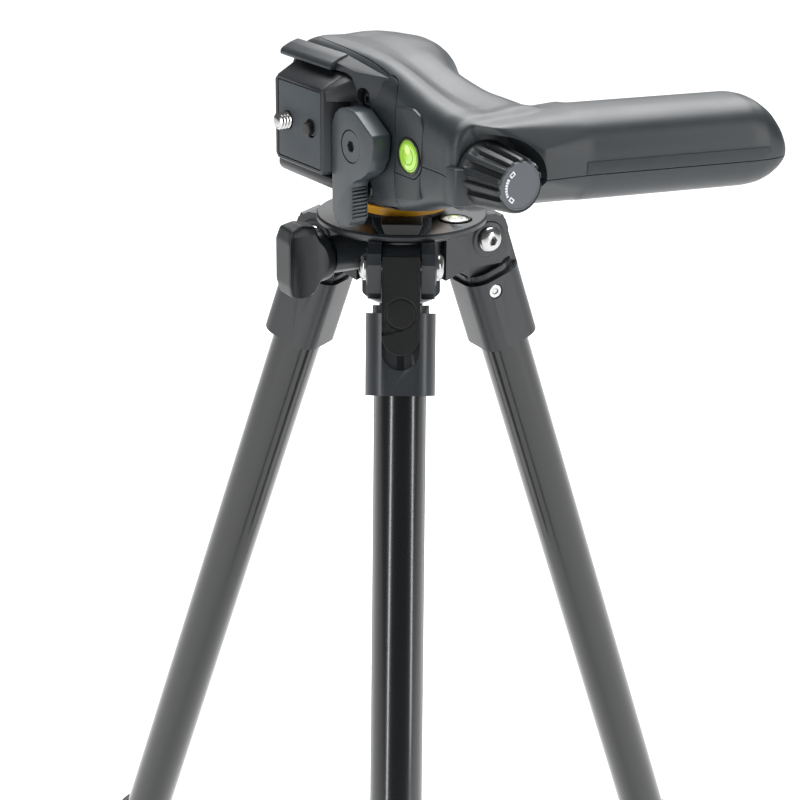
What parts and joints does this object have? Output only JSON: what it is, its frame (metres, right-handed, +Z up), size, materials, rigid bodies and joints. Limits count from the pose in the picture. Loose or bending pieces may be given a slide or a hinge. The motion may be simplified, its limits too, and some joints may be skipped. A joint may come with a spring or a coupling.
{
  "type": "tripod with pistol-grip ball head",
  "caption": "Folding three-legged tripod with twist-lock telescopic legs, a short centre column and a pistol-grip ball head with a quick-release plate.",
  "frame": {"origin": "on the ground under the centre line of the column, legs at their first stop and sections pushed in", "axes": "+Z up along the column, -Y towards the front leg, +X towards the handle side"},
  "size_m": [0.3004, 0.2626, 0.4701],
  "materials": {
    "crown_metal": "satin dark grey paint, fine texture",
    "bolt_steel": "nickel-plated steel, bright",
    "level_cup": "black",
    "level_clear": "clear liquid",
    "level_green": "green liquid",
    "black_plastic": "black, fine texture",
    "bush_plastic": "grey acetal",
    "knob_plastic": "charcoal, fine texture",
    "tube_black": "gloss black anodised aluminium",
    "accent_orange": "orange",
    "ball_metal": "hard anodised, satin",
    "shell_plastic": "slate grey glass-filled plastic",
    "cover_plastic": "charcoal glass-filled plastic",
    "screw_black": "black oxide steel",
    "brake_brass": "plain",
    "dial_grey": null,
    "lever_metal": "grey paint on die-cast metal",
    "plate_black": "black",
    "pad_rubber": "black rubber",
    "foot_rubber": "black rubber",
    "lock_plastic": "black ribbed rubber sleeve on plastic"
  },
  "bodies": {
    "crown": {"crown": "crown_metal", "hinge_bolts": "bolt_steel", "crown_level_cup": "level_cup", "crown_level_vial": "level_clear", "index_block": "black_plastic", "column_bush": "bush_plastic"},
    "column_knob": {"column_lock_knob": "knob_plastic", "column_lock_stud": "bolt_steel"},
    "column": {"column_tube": "tube_black", "column_plate": "crown_metal", "column_end_cap": "foot_rubber"},
    "pan": {"pan_ring": "accent_orange", "pan_base": "crown_metal", "ball_stem": "ball_metal"},
    "head": {"upper_shell": "shell_plastic", "lower_shell": "shell_plastic", "front_cover": "cover_plastic", "cover_screws": "screw_black", "brake_cup": "brake_brass", "head_level_cup": "level_cup", "head_level_vial": "level_green", "trigger_pin": "bolt_steel", "lever_screw": "screw_black"},
    "tension": {"tension_knob": "knob_plastic", "tension_dial": "dial_grey", "tension_screw": "bolt_steel"},
    "trigger": {"squeeze_trigger": "knob_plastic"},
    "lever": {"clamp_lever": "lever_metal"},
    "plate": {"quick_plate": "plate_black", "plate_pad": "pad_rubber"},
    "camera_screw": {"camera_screw": "bolt_steel"},
    "locating_pin": {"locating_pin": "screw_black"},
    "front_leg": {"front_collar": "crown_metal", "front_collar_screw": "bolt_steel", "front_upper_tube": "tube_black"},
    "front_tab": {"front_angle_tab": "black_plastic"},
    "front_upper_lock": {"front_upper_lock": "lock_plastic"},
    "front_middle": {"front_middle_tube": "tube_black"},
    "front_lower_lock": {"front_lower_lock": "lock_plastic"},
    "front_lower": {"front_lower_tube": "tube_black", "front_foot": "foot_rubber"},
    "right_leg": {"right_collar": "crown_metal", "right_collar_screw": "bolt_steel", "right_upper_tube": "tube_black"},
    "right_tab": {"right_angle_tab": "black_plastic"},
    "right_upper_lock": {"right_upper_lock": "lock_plastic"},
    "right_middle": {"right_middle_tube": "tube_black"},
    "right_lower_lock": {"right_lower_lock": "lock_plastic"},
    "right_lower": {"right_lower_tube": "tube_black", "right_foot": "foot_rubber"},
    "left_leg": {"left_collar": "crown_metal", "left_collar_screw": "bolt_steel", "left_upper_tube": "tube_black"},
    "left_tab": {"left_angle_tab": "black_plastic"},
    "left_upper_lock": {"left_upper_lock": "lock_plastic"},
    "left_middle": {"left_middle_tube": "tube_black"},
    "left_lower_lock": {"left_lower_lock": "lock_plastic"},
    "left_lower": {"left_lower_tube": "tube_black", "left_foot": "foot_rubber"}
  },
  "joints": [
    {"name": "column_slide", "type": "slide", "parent": "crown", "child": "column", "axis": [0, 0, 1], "range_m": [0, 0.17]},
    {"name": "column_lock_turn", "type": "hinge", "parent": "crown", "child": "column_knob", "pos_m": [-0.03897, -0.0225, 0.3878], "axis": [-0.866, -0.5, 0], "range_deg": [0, 360]},
    {"name": "pan_turn", "type": "hinge", "parent": "column", "child": "pan", "pos_m": [0, 0, 0.4058], "axis": [0, 0, 1], "continuous": true},
    {"name": "ball_flip", "type": "hinge", "parent": "pan", "child": "head", "pos_m": [0, 0, 0.4421], "axis": [-0.5736, 0.8192, 0], "range_deg": [0, 90]},
    {"name": "tension_turn", "type": "hinge", "parent": "head", "child": "tension", "pos_m": [0.03442, -0.09187, 0.4391], "axis": [0.5736, -0.8192, 0], "range_deg": [0, 270]},
    {"name": "trigger_squeeze", "type": "hinge", "parent": "head", "child": "trigger", "pos_m": [0.06172, -0.04844, 0.4421], "axis": [0, 0, -1], "range_deg": [0, 6], "stiffness_Nm_per_rad": 0.6, "springref_deg": -5.73},
    {"name": "lever_swing", "type": "hinge", "parent": "head", "child": "lever", "pos_m": [-0.01499, -0.04834, 0.4397], "axis": [-0.8192, -0.5736, 0], "range_deg": [0, 100]},
    {"name": "plate_lift", "type": "slide", "parent": "head", "child": "plate", "axis": [-0.8192, -0.5736, 0], "range_m": [0, 0.012]},
    {"name": "camera_screw_turn", "type": "hinge", "parent": "plate", "child": "camera_screw", "pos_m": [-0.04111, -0.01975, 0.4421], "axis": [-0.8192, -0.5736, 0], "continuous": true},
    {"name": "locating_pin_press", "type": "slide", "parent": "plate", "child": "locating_pin", "axis": [0.8192, 0.5736, 0], "range_m": [0, 0.002], "stiffness_N_per_m": 400, "springref_m": -0.001},
    {"name": "front_leg_swing", "type": "hinge", "parent": "crown", "child": "front_leg", "pos_m": [0, -0.0322, 0.3884], "axis": [1, 0, 0], "range_deg": [0, 19]},
    {"name": "front_tab_slide", "type": "slide", "parent": "front_leg", "child": "front_tab", "axis": [0, -0.3256, -0.9455], "range_m": [0, 0.005], "stiffness_N_per_m": 300, "springref_m": -0.002},
    {"name": "front_upper_lock_turn", "type": "hinge", "parent": "front_leg", "child": "front_upper_lock", "pos_m": [0, -0.14224, 0.06881], "axis": [0, -0.3256, -0.9455], "range_deg": [0, 120]},
    {"name": "front_middle_slide", "type": "slide", "parent": "front_leg", "child": "front_middle", "axis": [0, -0.3256, -0.9455], "range_m": [0, 0.22]},
    {"name": "front_lower_lock_turn", "type": "hinge", "parent": "front_middle", "child": "front_lower_lock", "pos_m": [0, -0.15266, 0.03856], "axis": [0, -0.3256, -0.9455], "range_deg": [0, 120]},
    {"name": "front_lower_slide", "type": "slide", "parent": "front_middle", "child": "front_lower", "axis": [0, -0.3256, -0.9455], "range_m": [0, 0.22]},
    {"name": "right_leg_swing", "type": "hinge", "parent": "crown", "child": "right_leg", "pos_m": [0.02789, 0.0161, 0.3884], "axis": [-0.5, 0.866, 0], "range_deg": [0, 19]},
    {"name": "right_tab_slide", "type": "slide", "parent": "right_leg", "child": "right_tab", "axis": [0.2819, 0.1628, -0.9455], "range_m": [0, 0.005], "stiffness_N_per_m": 300, "springref_m": -0.002},
    {"name": "right_upper_lock_turn", "type": "hinge", "parent": "right_leg", "child": "right_upper_lock", "pos_m": [0.12319, 0.07112, 0.06881], "axis": [0.2819, 0.1628, -0.9455], "range_deg": [0, 120]},
    {"name": "right_middle_slide", "type": "slide", "parent": "right_leg", "child": "right_middle", "axis": [0.2819, 0.1628, -0.9455], "range_m": [0, 0.22]},
    {"name": "right_lower_lock_turn", "type": "hinge", "parent": "right_middle", "child": "right_lower_lock", "pos_m": [0.13221, 0.07633, 0.03856], "axis": [0.2819, 0.1628, -0.9455], "range_deg": [0, 120]},
    {"name": "right_lower_slide", "type": "slide", "parent": "right_middle", "child": "right_lower", "axis": [0.2819, 0.1628, -0.9455], "range_m": [0, 0.22]},
    {"name": "left_leg_swing", "type": "hinge", "parent": "crown", "child": "left_leg", "pos_m": [-0.02789, 0.0161, 0.3884], "axis": [-0.5, -0.866, 0], "range_deg": [0, 19]},
    {"name": "left_tab_slide", "type": "slide", "parent": "left_leg", "child": "left_tab", "axis": [-0.2819, 0.1628, -0.9455], "range_m": [0, 0.005], "stiffness_N_per_m": 300, "springref_m": -0.002},
    {"name": "left_upper_lock_turn", "type": "hinge", "parent": "left_leg", "child": "left_upper_lock", "pos_m": [-0.12319, 0.07112, 0.06881], "axis": [-0.2819, 0.1628, -0.9455], "range_deg": [0, 120]},
    {"name": "left_middle_slide", "type": "slide", "parent": "left_leg", "child": "left_middle", "axis": [-0.2819, 0.1628, -0.9455], "range_m": [0, 0.22]},
    {"name": "left_lower_lock_turn", "type": "hinge", "parent": "left_middle", "child": "left_lower_lock", "pos_m": [-0.13221, 0.07633, 0.03856], "axis": [-0.2819, 0.1628, -0.9455], "range_deg": [0, 120]},
    {"name": "left_lower_slide", "type": "slide", "parent": "left_middle", "child": "left_lower", "axis": [-0.2819, 0.1628, -0.9455], "range_m": [0, 0.22]}
  ]
}
